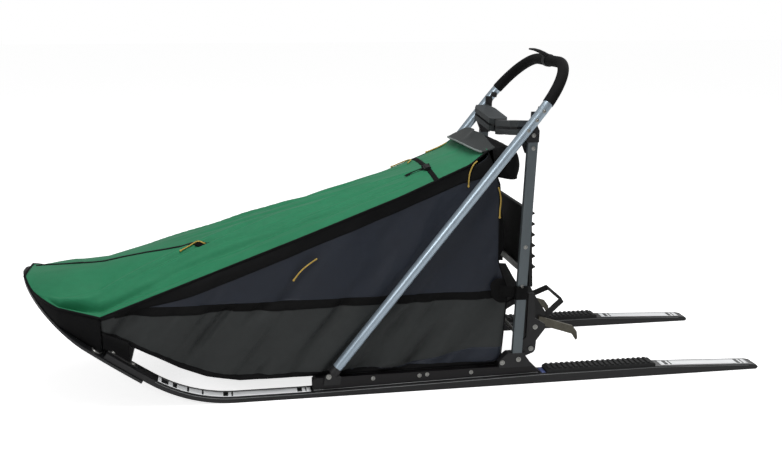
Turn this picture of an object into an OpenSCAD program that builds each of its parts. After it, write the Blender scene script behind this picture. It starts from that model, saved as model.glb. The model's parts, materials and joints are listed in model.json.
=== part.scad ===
// Mid-distance dog sled: runners, drive bow, stanchions, zipped basket bag,
// claw brake and drag mat.
// Millimetres. +Z is up and -X is the way the dogs pull. The origin is on the
// ground, half way along the sled and midway between the runners.

/* [Overall] */
// Runner behind the stanchions, where the musher stands
tail_len = 851; // [700:1:1050]
// Flat runner under the basket, from the stanchions to the front curve
basket_len = 901; // [780:1:1100]
// Reach of the nose in front of the flat runner
nose_len = 648; // [600:1:720]
// Height of the nose tip
nose_z = 382; // [340:1:420]
// Spacing of the runners, centre to centre
runner_gap = 530; // [460:1:640]

/* [Runners] */
// Width of a runner
runner_w = 58; // [40:1:70]
// Thickness of a runner at its front
runner_front_t = 18; // [14:1:26]
// Thickness of a runner under the musher
runner_t = 32; // [28:1:40]
// Thickness of a runner at its rear end
runner_tail_t = 18; // [12:1:26]
// Radius of the front curve
curve_r = 460; // [400:5:540]
// Steepness of the runner where it meets the brush bow, in degrees
curve_deg = 34; // [28:1:36]
// Tip of a runner behind the front of the bag
tip_gap = 6; // [3:1:60]

/* [Rails and footboards] */
// Length of a side rail
rail_len = 746; // [640:1:860]
// Width of a side rail
rail_w = 36; // [26:1:44]
// Height of the rail's top above the ground
rail_top = 60; // [54:1:76]
// Rail behind the stanchion's centre line
rail_behind = 85; // [76:1:100]
// Length of a footboard
foot_len = 377; // [260:1:450]
// Bare runner between rail and footboard
foot_gap = 18; // [8:1:90]
// Thickness of a footboard
foot_t = 16; // [10:1:24]
// Radius of a cross tube
cross_r = 12; // [8:0.5:12.5]

/* [Basket] */
// Thickness of the basket floor
floor_t = 6; // [4:0.5:8]
// Thickness of the bag's fabric walls
wall_t = 4; // [3:0.5:6]
// Set-in of the bag's outer face from each runner's centre, at the rails
bag_inset = 5; // [3:1:40]
// Half width of the bag at its top rear corners
bag_top_half = 200; // [170:1:230]
// Height of the seam between side and cover at the front
seam_front_z = 287; // [270:1:310]
// Height of the seam at the rear corner
seam_rear_z = 756; // [700:1:780]
// Rise of the cover's middle over the front of the seam
crown_h = 116; // [60:1:140]
// Rise of the cover's middle over the rear of the seam
crown_rear = 6; // [4:1:20]

/* [Brush bow] */
// Reach of the brush bow past each runner's centre
sheet_over = 35; // [30:1:85]
// Thickness of the brush bow
sheet_t = 8; // [5:0.5:12]
// Radius of a bridle hole
bridle_r = 12; // [6:0.5:14]

/* [Driving bow] */
// Reach of each bow leg's centre past its runner's centre
bow_outset = 25; // [20:1:80]
// Radius of the bow's tube
bow_tube_r = 16; // [12:0.5:17]
// Radius of the bow's top corners
bow_corner_r = 190; // [120:5:230]
// Slope of the bow, in degrees
bow_slope = 51; // [48:0.5:54]
// Length from a foot to the top tube's centre, along the slope
bow_len = 1195; // [1100:1:1250]
// Bare tube at the start of each corner, in degrees
foam_deg = 13; // [0:1:30]
// Thickness of the foam
foam_t = 2; // [1:0.5:8]

/* [Stanchions] */
// Depth of a stanchion, fore and aft
post_d = 31; // [24:1:38]
// Thickness of a stanchion, across
post_t = 18; // [12:1:20]
// Backward lean of a stanchion, in degrees
post_lean = 2.55; // [1:0.05:4]
// Height of a stanchion's top
post_top_z = 790; // [760:1:800]

/* [Brake and drag mat] */
// Radius of the pivot rod
pivot_r = 6; // [5:0.5:8]
// Radial running clearance on the pivot rod
pivot_clear = 0.05; // [0.03:0.01:0.1]
// Pivot behind the stanchion's foot
pivot_behind = 53; // [46:1:60]
// Height of the pivot
pivot_z = 110; // [106:1:130]
// Half spacing of the brake plates, to their inner faces
plate_in = 137; // [110:0.5:145]
// Width of the drag mat
mat_w = 380; // [350:1:400]
// Thickness of the drag mat
mat_t = 12; // [8:1:16]
// Length of the drag mat
mat_len = 257; // [220:1:262]
// Height of a lug on the mat
lug_h = 10; // [6:1:14]

/* [Hidden] */
bag_half = runner_gap / 2 - bag_inset;
sheet_w = runner_gap + 2 * sheet_over;
bow_w = runner_gap + 2 * bow_outset;

// Fragments of a round part
$fn = 48;
// Gap between pieces that only lie against each other
touch = 0.3;
// Overshoot of a cut
cut = 1;

// Stations along the sled
x_tail = (tail_len + basket_len + nose_len) / 2;
x_post = x_tail - tail_len;
x_curve = x_post - basket_len;
x_rail_rear = x_post + rail_behind;
x_rail_front = x_rail_rear - rail_len;
x_foot_front = x_rail_rear + foot_gap;
x_foot_rear = x_foot_front + foot_len;
runner_y = runner_gap / 2;

// Front curve: an arc from the ground, then a flatter arc to the nose tip
curve_steps = 12;
curve_end = [x_curve - curve_r * sin(curve_deg), curve_r * (1 - cos(curve_deg))];
chord = [-x_tail - curve_end[0], nose_z - curve_end[1]];
chord_deg = atan2(chord[1], -chord[0]);
nose_deg = 2 * chord_deg - curve_deg;
nose_r = norm(chord) / (2 * sin(chord_deg - curve_deg));
nose_centre = curve_end + nose_r * [sin(curve_deg), cos(curve_deg)];
nose_arc_len = nose_r * (nose_deg - curve_deg) * PI / 180;

// Points at a height above the underside of the front curve, out to a share of its nose arc
function low_arc(up) = [for (i = [0 : curve_steps])
    let (a = curve_deg * i / curve_steps)
    [x_curve - (curve_r - up) * sin(a), curve_r - (curve_r - up) * cos(a)]];
function nose_point(share, up) =
    let (a = curve_deg + (nose_deg - curve_deg) * share)
    nose_centre - (nose_r - up) * [sin(a), cos(a)];
function nose_arc(from, to, up) = [for (i = [0 : curve_steps])
    nose_point(from + (to - from) * i / curve_steps, up)];
function reversed(p) = [for (i = [len(p) - 1 : -1 : 0]) p[i]];

// Share of the nose arc at a station x
function nose_share(x) =
    (asin((nose_centre[0] - x) / nose_r) - curve_deg) / (nose_deg - curve_deg);

// Top of a runner at a station, as it thickens towards the musher
slope_front_x = x_rail_front - 40;
function runner_top(x) = runner_front_t + (runner_t - runner_front_t)
    * (x - slope_front_x) / (x_rail_rear - slope_front_x);

// Half width of the brush bow at a station
sheet_taper_x = curve_end[0] - 190;
sheet_tip_x = -x_tail - 1.5;
function sheet_half(x) = x >= sheet_taper_x ? sheet_w / 2
    : sheet_w / 2 * pow(1 - pow((sheet_taper_x - x) / (sheet_taper_x - sheet_tip_x), 1.6), 1 / 1.7);

// Seam of the bag. Columns: share of its length, share of its rise
SEAM = [[0, 0], [0.502, 0.459], [0.763, 0.705], [0.95, 0.904], [1, 1]];
x_seam_front = x_curve - 393;
x_seam_rear = x_post - 86;
function seam_x(share) = x_seam_front + (x_seam_rear - x_seam_front) * share;
function seam_z(share) = seam_front_z + (seam_rear_z - seam_front_z) * lookup(share, SEAM);
function crown(share) = crown_rear + (crown_h - crown_rear) * (1 - share);

// Outer face of the bag's side, which leans in above the front of the seam
function side_y(z) = bag_half - (bag_half - bag_top_half)
    * max(0, z - seam_front_z) / (seam_rear_z - seam_front_z);

// Rear edge of the bag. Columns: height, station
BACK = [[rail_top, x_post - 47], [312, x_post - 26], [400, x_post - 55],
    [seam_rear_z - 110, x_post - 46], [seam_rear_z, x_seam_rear]];
function back_x(z) = lookup(z, BACK);

// Bow: feet beside the rails, legs up a slope, round corners and a top tube
bow_half = bow_w / 2;
bow_foot = [x_post - 583, 94];
bow_leg = bow_len - bow_corner_r;
bow_top_x = bow_foot[0] + bow_len * cos(bow_slope);
bow_top_z = bow_foot[1] + bow_len * sin(bow_slope);

// Stanchions
foot_z = 108;
post_in = bow_half - 14;
post_out = post_in + post_t;
function post_x(z) = x_post + (z - 100) * tan(post_lean);

// Pivot
pivot = [x_post + pivot_behind, pivot_z];
bore_r = pivot_r + pivot_clear;
ear_in = bag_half - 10;
ear_t = 12;
function at_pivot(p) = [for (q = p) q + pivot];

// Drag mat: points a height along it and a depth behind the pivot
mat_lean = 2.4;
mat_back = 33;
mat_low = 186;
notch_low = 212;
mat_up = [-sin(mat_lean), cos(mat_lean)];
mat_aft = [cos(mat_lean), sin(mat_lean)];
function mat_at(h, d) = pivot + h * mat_up + d * mat_aft;
mat_front = mat_back - mat_t;
mat_high = mat_low + mat_len;

// A side view outline given thickness across, on one side of the sled
module plate(side, y_in, y_out, points) {
    translate([0, side > 0 ? y_out : -y_in, 0])
        rotate([90, 0, 0]) linear_extrude(y_out - y_in) polygon(points);
}

// A side view outline right across the sled
module across(half, points) {
    translate([0, half, 0]) rotate([90, 0, 0]) linear_extrude(2 * half) polygon(points);
}

// A rod along Y through a side view point
module rod(point, half, r) {
    translate([point[0], 0, point[1]]) rotate([90, 0, 0]) cylinder(r = r, h = 2 * half, center = true);
}

// A thin shell between an upper and a lower grid of points, rows along the sled
module shell(upper, lower) {
    rows = len(upper);
    cols = len(upper[0]);
    flat = [for (grid = [upper, lower]) for (row = grid) for (p = row) p];
    under = rows * cols;
    function id(i, j) = i * cols + j;
    faces = concat(
        [for (i = [0 : rows - 2]) for (j = [0 : cols - 2])
            [id(i, j), id(i, j + 1), id(i + 1, j + 1)]],
        [for (i = [0 : rows - 2]) for (j = [0 : cols - 2])
            [id(i, j), id(i + 1, j + 1), id(i + 1, j)]],
        [for (i = [0 : rows - 2]) for (j = [0 : cols - 2])
            [under + id(i, j), under + id(i + 1, j + 1), under + id(i, j + 1)]],
        [for (i = [0 : rows - 2]) for (j = [0 : cols - 2])
            [under + id(i, j), under + id(i + 1, j), under + id(i + 1, j + 1)]],
        [for (i = [0 : rows - 2]) each [
            [id(i, 0), id(i + 1, 0), under + id(i + 1, 0)],
            [id(i, 0), under + id(i + 1, 0), under + id(i, 0)],
            [id(i, cols - 1), under + id(i + 1, cols - 1), id(i + 1, cols - 1)],
            [id(i, cols - 1), under + id(i, cols - 1), under + id(i + 1, cols - 1)]]],
        [for (j = [0 : cols - 2]) each [
            [id(0, j), under + id(0, j + 1), id(0, j + 1)],
            [id(0, j), under + id(0, j), under + id(0, j + 1)],
            [id(rows - 1, j), id(rows - 1, j + 1), under + id(rows - 1, j + 1)],
            [id(rows - 1, j), under + id(rows - 1, j + 1), under + id(rows - 1, j)]]]);
    polyhedron(flat, faces);
}

// ---- Runners, rails and footboards

module runner(side) {
    tip = nose_share(x_seam_front + tip_gap);
    points = concat(
        [[x_tail - 8, 0]],
        low_arc(0), nose_arc(0, tip, 0),
        reversed(nose_arc(0, tip, runner_front_t)), reversed(low_arc(runner_front_t)),
        [[slope_front_x, runner_front_t], [x_rail_rear, runner_t],
         [x_foot_rear + 12, runner_t], [x_tail - 24, runner_tail_t],
         [x_tail - 6, runner_tail_t - 4], [x_tail, 6]]);
    color([0.07, 0.07, 0.08])
        plate(side, runner_y - runner_w / 2, runner_y + runner_w / 2, points);
}

module rail(side) {
    chamfer = rail_top - runner_t;
    color([0.09, 0.09, 0.1])
        plate(side, runner_y - rail_w / 2, runner_y + rail_w / 2,
            [[x_rail_front, runner_top(x_rail_front)], [x_rail_rear, runner_t],
             [x_rail_rear - chamfer, rail_top], [x_rail_front + 10, rail_top],
             [x_rail_front, rail_top - 10]]);
}

module footboard(side) {
    bump_pitch = 18;
    bump_h = 4;
    bump_w = 9;
    rows = floor((foot_len - bump_w) / bump_pitch);
    half = runner_w / 2 - 2;
    base_z = runner_t + foot_t - bump_h;
    color([0.05, 0.05, 0.05]) {
        plate(side, runner_y - half, runner_y + half,
            [[x_foot_front, runner_t], [x_foot_rear, runner_t],
             [x_foot_rear, base_z - 4], [x_foot_rear - 6, base_z],
             [x_foot_front + 6, base_z], [x_foot_front, base_z - 4]]);
        for (i = [0 : rows - 1])
            translate([x_foot_front + 8 + i * bump_pitch, side * runner_y - half + 3, base_z - cut])
                cube([bump_w, 2 * half - 6, bump_h + cut]);
    }
}

module cross_tube(x) {
    color("silver")
        rod([x, rail_top - cross_r - touch], runner_y - rail_w / 2, cross_r);
}

// ---- Basket floor and brush bow

// Side view of the floor's underside. The last two points lie on the brush bow
x_floor_rear = BACK[0][1] - wall_t - 2 * touch;
function floor_line(up) = [
    [x_floor_rear, rail_top + up], [x_curve + 15, rail_top + up],
    [x_curve - 88, rail_top + 20 + up], [x_curve - 167, rail_top + 53 + up],
    [x_curve - 297, rail_top + 126 + up], [x_curve - 393, rail_top + 170 + up * 1.1]];
floor_on = 0.62;
floor_end = 0.76;
floor_tongue_half = 195;

module basket_floor() {
    inside = bag_half - wall_t - touch;
    front = len(floor_line(0)) - 1;
    color([0.06, 0.06, 0.07]) {
        across(inside, concat(floor_line(0), reversed(floor_line(floor_t))));
        across(floor_tongue_half, [
            floor_line(0)[front], nose_point(floor_on, touch), nose_point(floor_end, touch),
            nose_point(floor_end, touch + floor_t), nose_point(floor_on, touch + floor_t),
            floor_line(floor_t)[front]]);
    }
}

module floor_strip() {
    low = floor_t + 2 * touch;
    strip_t = 5;
    color([0.1, 0.1, 0.12])
        across(floor_tongue_half - 8, [
            nose_point(floor_on + 0.02, low), nose_point(floor_end - 0.03, low),
            nose_point(floor_end - 0.03, low + strip_t),
            nose_point(floor_on + 0.02, low + strip_t)]);
}

// A rod square to the brush bow through one of its points
module through_sheet(share, y, r) {
    point = nose_point(share, 0);
    slope = curve_deg + (nose_deg - curve_deg) * share;
    translate([point[0], y, point[1]]) rotate([0, slope, 0])
        cylinder(r = r, h = 8 * sheet_t, center = true);
}

bridle_share = nose_share(x_seam_front + tip_gap) + 24 / nose_arc_len;

module brush_bow() {
    ear = 0.045;
    notch = nose_point(0.15, 0)[0];
    plan_steps = 24;
    plan = [for (i = [0 : plan_steps])
        let (x = sheet_taper_x - (sheet_taper_x - sheet_tip_x) * sin(90 * i / plan_steps))
        [x, sheet_half(x)]];
    outline = concat([[x_curve, sheet_w / 2]], plan,
        reversed([for (p = plan) [p[0], -p[1]]]), [[x_curve, -sheet_w / 2]]);
    notch_half = runner_y - runner_w / 2 - 21;
    color([0.05, 0.05, 0.06])
        difference() {
            intersection() {
                across(sheet_w / 2 + cut, concat(nose_arc(ear, 1, -sheet_t - touch),
                    reversed(nose_arc(ear, 1, -touch))));
                linear_extrude(2 * nose_z) polygon(outline);
                translate([-x_tail, -sheet_w, 0]) cube([x_tail, 2 * sheet_w, 2 * nose_z]);
            }
            translate([notch, -notch_half, 0]) cube([basket_len, 2 * notch_half, nose_z]);
            for (side = [-1, 1]) through_sheet(bridle_share, side * (runner_y + 2), bridle_r);
        }
}

// ---- Driving bow

bow_side_y = bow_half - bow_corner_r;

// The bow's own frame: +X up the slope from the feet
module on_bow() {
    translate([bow_foot[0], 0, bow_foot[1]]) rotate([0, -bow_slope, 0]) children();
}

// The bow's corners and top tube, of a section that is given as children
module bow_loop(skip_deg) {
    for (side = [-1, 1])
        mirror([0, side > 0 ? 0 : 1, 0]) translate([bow_leg, bow_side_y, 0])
            rotate_extrude(angle = 90 - skip_deg) translate([bow_corner_r, 0]) children();
    translate([bow_len, bow_side_y, 0]) rotate([90, 0, 0])
        linear_extrude(2 * bow_side_y) children();
}

// One leg alone, for what grips it
module leg_bore(side, r) {
    translate([bow_foot[0], side * bow_half, bow_foot[1]]) rotate([0, 90 - bow_slope, 0])
        translate([0, 0, -bow_tube_r * 4]) cylinder(r = r, h = bow_len);
}

module driving_bow() {
    color([0.72, 0.75, 0.77])
        on_bow() {
            for (side = [-1, 1])
                translate([0, side * bow_half, 0]) rotate([0, 90, 0])
                    cylinder(r = bow_tube_r, h = bow_leg);
            bow_loop(0) circle(r = bow_tube_r);
        }
}

module grip_foam() {
    color([0.06, 0.06, 0.06])
        on_bow() bow_loop(foam_deg) difference() {
            circle(r = bow_tube_r + foam_t);
            circle(r = bow_tube_r + touch);
        }
}

// A collar round the middle of the grip, with a tapered horn that reaches forward from it
module grip_horn() {
    horn_steps = 4;
    base_r = 9;
    tip_r = 3;
    reach = 66;
    rise = 26;
    collar_r = bow_tube_r + foam_t + 3;
    function horn(i) = let (share = i / horn_steps)
        [-reach * share, collar_r - base_r + rise * sin(90 * share)];
    color([0.05, 0.05, 0.05])
        translate([bow_top_x, 0, bow_top_z]) difference() {
            union() {
                rod([0, 0], 13, collar_r);
                for (i = [0 : horn_steps - 1])
                    hull() for (k = [i, i + 1])
                        translate([horn(k)[0], 0, horn(k)[1]])
                            sphere(r = base_r + (tip_r - base_r) * k / horn_steps, $fn = 24);
            }
            rod([0, 0], 13 + cut, bow_tube_r + foam_t + touch);
        }
}

// Plug in the leg's lower end, with a tongue bolted to the rail
module bow_plug(side) {
    tongue_in = runner_y + rail_w / 2 + touch;
    tongue_out = tongue_in + 10;
    plug_len = 22;
    color([0.05, 0.05, 0.06]) {
        translate([bow_foot[0], side * bow_half, bow_foot[1]]) rotate([0, 90 - bow_slope, 0])
            translate([0, 0, -plug_len]) cylinder(r = bow_tube_r + 2, h = plug_len);
        plate(side, tongue_in, tongue_out, [
            [bow_foot[0] - 44, rail_top - 22], [bow_foot[0] + 8, rail_top - 22],
            [bow_foot[0] + 12, rail_top + 4], [bow_foot[0] - 14, rail_top + 22],
            [bow_foot[0] - 40, rail_top + 8]]);
    }
}

// ---- Stanchions

module stanchion(side) {
    color([0.5, 0.53, 0.54])
        plate(side, post_in, post_out, [
            [post_x(foot_z) - post_d / 2, foot_z], [post_x(foot_z) + post_d / 2, foot_z],
            [post_x(post_top_z) + post_d / 2, post_top_z],
            [post_x(post_top_z) - post_d / 2, post_top_z]]);
}

module stanchion_foot(side) {
    lobe_r = 3 * pivot_r;
    half = post_d / 2;
    color([0.07, 0.07, 0.07])
        difference() {
            union() {
                plate(side, bag_half + 1, post_out, [
                    [x_post - half - 44, rail_top], [x_post + half + 40, rail_top],
                    [x_post + half + 12, foot_z - 10], [x_post + half + 10, foot_z],
                    [x_post - half - 16, foot_z], [x_post - half - 44, rail_top + 24]]);
                plate(side, ear_in, ear_in + ear_t, concat(
                    [[x_post, rail_top + 10]],
                    at_pivot([[lobe_r * 0.5, -lobe_r * 0.86], [lobe_r, 0], [20, 26], [50, 66],
                        [48, 80], [14, 102], [9, 186], [-10, 186], [-14, 40]]),
                    [[x_post, foot_z]]));
                translate([0, side * (ear_in + ear_t / 2), 0]) rod(pivot, ear_t / 2, lobe_r);
            }
            rod(pivot, bow_w, bore_r);
        }
}

module stanchion_head(side) {
    half = post_d / 2;
    x = post_x(post_top_z);
    z = post_top_z;
    web_t = 10;
    web_out = post_in - 3;
    color([0.06, 0.06, 0.07]) {
        difference() {
            plate(side, web_out - web_t, post_out, [
                [x - half - 3, z], [x + half + 3, z], [x + half + 4, z + 36],
                [x + half - 8, z + 60], [x - half + 2, z + 40], [x - half - 14, z + 18]]);
            leg_bore(side, bow_tube_r + touch);
        }
        plate(side, web_out - web_t, web_out, [
            [x - half - 18, z + 6], [x - half - 2, z - 36], [x + half, z - 36],
            [x + half + 2, z + 40], [x + half + 6, z + 60], [x + half + 6, z + 92],
            [x + half - 16, z + 92], [x + half - 18, z + 50]]);
    }
}

// Cross brace. Each arm is a pair of bevelled plates that rise from the hub
brace_z = 804;
brace_rise = 6;
brace_gap = 8;
brace_x = post_x(brace_z) - 20;
module brace_arm(side) {
    inner = 26;
    outer = post_in - 16;
    arm_t = 18;
    plan = [[-30, inner + 14], [-16, inner], [18, inner], [34, inner + 20],
            [34, outer - 60], [22, outer], [-20, outer], [-34, outer - 40]];
    color([0.42, 0.45, 0.46])
        for (z = [-arm_t - brace_gap / 2, brace_gap / 2])
            translate([brace_x, 0, brace_z]) rotate([side * brace_rise, 0, 0])
                translate([0, 0, z]) linear_extrude(arm_t)
                    polygon([for (p = plan) [p[0], side * p[1]]]);
}

module brace_core() {
    core_t = brace_gap - 2 * touch;
    outer = post_in - 24;
    hub_r = 19;
    color([0.05, 0.05, 0.05]) {
        for (side = [-1, 1])
            translate([brace_x, 0, brace_z]) rotate([side * brace_rise, 0, 0])
                translate([-22, side > 0 ? 10 : -outer, -core_t / 2])
                    cube([46, outer - 10, core_t]);
        translate([brace_x, 0, brace_z - 24]) cylinder(r = hub_r, h = 48);
    }
}

// ---- Bag

module bag_side(side) {
    floor_z = reversed(floor_line(touch));
    heights = [for (k = [0 : len(BACK) - 1]) (BACK[k][0] - rail_top) / (seam_rear_z - rail_top)];
    // Points down the side at a share of its length
    function down(s, inset) = [for (k = [len(BACK) - 1 : -1 : 0])
        let (low_x = x_seam_front + (BACK[0][1] - x_seam_front) * s,
             low_z = lookup(low_x, floor_z), top_z = seam_z(s) - wall_t - touch,
             x = s == 1 ? BACK[k][1] : low_x + (seam_x(s) - low_x) * heights[k],
             z = low_z + (top_z - low_z) * heights[k])
        [x, side_y(z) - inset, z]];
    shares = [0, 0.077, 0.181, 0.245, 0.327, 0.42, 0.502, 0.63, 0.763, 0.86, 0.95, 1];
    color([0.1, 0.13, 0.18])
        mirror([0, side > 0 ? 0 : 1, 0])
            shell([for (s = shares) down(s, 0)], [for (s = shares) down(s, wall_t)]);
}

module bag_back() {
    top_z = seam_z(1 - 2 * wall_t / (x_seam_rear - x_seam_front)) - wall_t - 2 * touch;
    heights = [rail_top + floor_t + touch, BACK[1][0], BACK[2][0], BACK[3][0], top_z];
    function up(side, forward) = [for (z = heights)
        [back_x(z) - touch - forward, side * (side_y(z) - wall_t - touch), z]];
    color([0.08, 0.08, 0.09])
        shell([up(-1, 0), up(1, 0)], [up(-1, wall_t), up(1, wall_t)]);
}

// A crowned section from one edge to the other
roof_cols = 12;
function roof_row(x, half, edge_z, rise) = [for (j = [0 : roof_cols])
    let (t = 2 * j / roof_cols - 1)
    [x, t * half, edge_z + rise * (1 - pow(abs(t), 2.3))]];
function dropped(grid, d) = [for (row = grid) [for (p = row) p - [0, 0, d]]];

module bag_cover() {
    rows = [for (s = [0, 0.17, 0.34, 0.507, 0.64, 0.767, 0.87, 0.952, 1])
        roof_row(seam_x(s), side_y(seam_z(s)), seam_z(s), crown(s))];
    color([0.14, 0.47, 0.31]) shell(rows, dropped(rows, wall_t));
}

// Half width and heights of the nose at a share of its reach
x_nose_tip = -x_tail + 6;
function nose_x(g) = x_seam_front - touch + (x_nose_tip - x_seam_front) * g;
function nose_half(g) = min(bag_half, sheet_half(nose_x(g)) - 10);
function nose_floor_z(g) = lookup(nose_x(g),
    [for (i = [24 : -1 : 0]) nose_point(i / 24, touch)]);
function nose_edge_z(g) = max(nose_floor_z(g) + 8,
    seam_front_z + (nose_z - 18 - seam_front_z) * g);
function nose_top_z(g) = seam_front_z + crown_h
    + (nose_z - 4 - seam_front_z - crown_h) * pow(g, 0.8);

function nose_row(g, inset) =
    let (half = nose_half(g) - inset, low = nose_floor_z(g) + 1.2 * touch,
         edge = nose_edge_z(g) - inset / 2, top = nose_top_z(g) - inset)
    concat([[nose_x(g), -half, low]],
        [for (p = roof_row(nose_x(g), half, edge, top - edge)) p],
        [[nose_x(g), half, low]]);

module bag_nose() {
    shares = [0, 0.15, 0.3, 0.45, 0.6, 0.72, 0.83, 0.91, 0.965];
    color([0.14, 0.47, 0.31])
        shell([for (g = shares) nose_row(g, 0)], [for (g = shares) nose_row(g, wall_t)]);
}

module rear_pocket() {
    low = 665;
    high = 744;
    back = x_post + 14;
    color([0.04, 0.04, 0.04])
        across(bag_top_half - 15, [[back_x(low) + touch, low], [back - 4, low + 3], [back, high - 22],
            [back - 16, high + 10], [back_x(high) + 20, high + 14], [back_x(high) + touch, high]]);
}

module hook_pouch() {
    low = 402;
    high = 598;
    back = x_post - 16;
    color([0.04, 0.04, 0.04])
        across(bag_top_half - 10, [[back_x(low) + touch, low], [back - 14, low + 6],
            [back, low + 38], [back - 6, high - 78], [back - 22, high - 26],
            [back_x(high) + touch, high]]);
}

module back_flap() {
    flap_half = bag_top_half - 10;
    front_x = x_seam_rear - 30;
    above = 6;
    share = (front_x - x_seam_front) / (x_seam_rear - x_seam_front);
    rear_z = seam_rear_z + crown_rear + above;
    // Columns: station, height, rise of the middle
    rows = [for (r = [[front_x, seam_z(share) + crown(share) + above, 8],
            [x_seam_rear, rear_z, 12], [x_seam_rear + 17, rear_z + 5, 16],
            [x_seam_rear + 34, rear_z + 8, 20]])
        roof_row(r[0], flap_half, r[1], r[2])];
    color([0.27, 0.29, 0.29]) shell(rows, dropped(rows, 3));
}

// ---- Brake

module pivot_rod() {
    color("silver") rod(pivot, ear_in + ear_t + 3, pivot_r);
}

plate_t = 8;
bar_at = [71, 68];
module brake_frame() {
    bar_r = 11;
    outline = [[-17, 2], [-14, 60], [-4, 150], [4, 182], [30, 180], [58, 130],
               [88, 84], [90, 56], [60, 28], [18, -10], [0, -17]];
    color([0.06, 0.06, 0.07])
        difference() {
            union() {
                for (side = [-1, 1]) plate(side, plate_in, plate_in + plate_t, at_pivot(outline));
                rod(pivot + bar_at, plate_in + cut, bar_r);
            }
            rod(pivot, bow_w, bore_r);
        }
}

// Foot pedal: a flat bar bent round three sides, on edge in a plane that rises to the rear
bow_rise = 31;
module brake_bow() {
    bar_t = 5;
    bar_h = 20;
    reach = 199;
    corner_y = 80;
    half = plate_in - touch;
    outer = [[30, half], [62, half], [reach, corner_y], [reach, -corner_y], [62, -half], [30, -half]];
    inner = [[30, half - bar_t], [60, half - bar_t], [reach - bar_t, corner_y - 3],
             [reach - bar_t, 3 - corner_y], [60, bar_t - half], [30, bar_t - half]];
    color([0.05, 0.05, 0.05])
        translate([pivot[0], 0, pivot[1]]) rotate([0, -bow_rise, 0])
            translate([0, 0, -bar_h / 2]) linear_extrude(bar_h)
                polygon(concat(outer, reversed(inner)));
}

module claw(side) {
    claw_t = 10;
    outline = [[64, 71], [184, 31], [199, 10], [202, -14], [197, -20], [182, 3],
               [172, 6], [58, 45]];
    color([0.45, 0.45, 0.42])
        plate(side, plate_in + plate_t + touch, plate_in + plate_t + touch + claw_t,
            at_pivot(outline));
}

// ---- Drag mat

arm_in = mat_w / 2 - 24;
arm_t = 8;
module mat_arm(side) {
    lobe_r = 16;
    bar_d = 20;
    color([0.1, 0.1, 0.11])
        difference() {
            union() {
                plate(side, arm_in, arm_in + arm_t, [
                    pivot - [lobe_r, 0], pivot + [lobe_r, -2], mat_at(60, mat_front - touch),
                    mat_at(mat_high - 90, mat_front - touch), mat_at(mat_high - 90, mat_front - bar_d),
                    mat_at(60, mat_front - bar_d)]);
                translate([0, side * (arm_in + arm_t / 2), 0]) rod(pivot, arm_t / 2, lobe_r);
            }
            rod(pivot, bow_w, bore_r);
        }
}

module mat_clamp_bar() {
    bar_t = 6;
    color([0.5, 0.52, 0.53])
        across(arm_in - touch, [
            mat_at(notch_low + 3, mat_front - touch), mat_at(notch_low + 28, mat_front - touch),
            mat_at(notch_low + 28, mat_front - bar_t), mat_at(notch_low + 3, mat_front - bar_t)]);
}

module drag_mat() {
    notch_half = arm_in - 5;
    lug_pitch = 36;
    lug_w = 12;
    rows = floor((mat_high - notch_low - lug_w) / lug_pitch);
    lug_gap = 18;
    lug_len = (mat_w - 2 * lug_gap) / 3;
    color([0.04, 0.04, 0.04]) {
        difference() {
            across(mat_w / 2, [mat_at(mat_low, mat_front), mat_at(mat_low, mat_back),
                mat_at(mat_high, mat_back), mat_at(mat_high, mat_front)]);
            across(notch_half, [mat_at(mat_low - cut, mat_front - cut),
                mat_at(mat_low - cut, mat_back + cut), mat_at(notch_low, mat_back + cut),
                mat_at(notch_low, mat_front - cut)]);
        }
        for (i = [0 : rows - 1]) {
            h = mat_high - 4 - i * lug_pitch;
            for (k = [-1, 0, 1])
                translate([0, k * (lug_len + lug_gap), 0])
                    across(lug_len / 2, [mat_at(h, mat_back - cut), mat_at(h - 4, mat_back + lug_h),
                        mat_at(h - lug_w + 4, mat_back + lug_h), mat_at(h - lug_w, mat_back - cut)]);
        }
    }
}

runner(-1);  // runner_left
runner(1);  // runner_right
rail(-1);  // rail_left
rail(1);  // rail_right
footboard(-1);  // footboard_left
footboard(1);  // footboard_right
cross_tube(x_rail_front + 26);  // front_cross_tube
cross_tube((x_rail_front + x_post) / 2);  // middle_cross_tube
cross_tube(x_post - 75);  // rear_cross_tube
basket_floor();
floor_strip();
brush_bow();
driving_bow();
grip_foam();
grip_horn();
bow_plug(-1);  // bow_foot_left
bow_plug(1);  // bow_foot_right
stanchion(-1);  // stanchion_left
stanchion(1);  // stanchion_right
stanchion_foot(-1);  // stanchion_foot_left
stanchion_foot(1);  // stanchion_foot_right
stanchion_head(-1);  // stanchion_head_left
stanchion_head(1);  // stanchion_head_right
brace_arm(-1);  // brace_arm_left
brace_arm(1);  // brace_arm_right
brace_core();
bag_side(-1);  // bag_side_left
bag_side(1);  // bag_side_right
bag_back();
bag_cover();
bag_nose();
rear_pocket();
hook_pouch();
back_flap();
pivot_rod();
brake_frame();
brake_bow();
claw(-1);  // claw_left
claw(1);  // claw_right
mat_arm(-1);  // mat_arm_left
mat_arm(1);  // mat_arm_right
mat_clamp_bar();
drag_mat();
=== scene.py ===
import json
import math

import bpy
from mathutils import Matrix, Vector, noise


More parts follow.
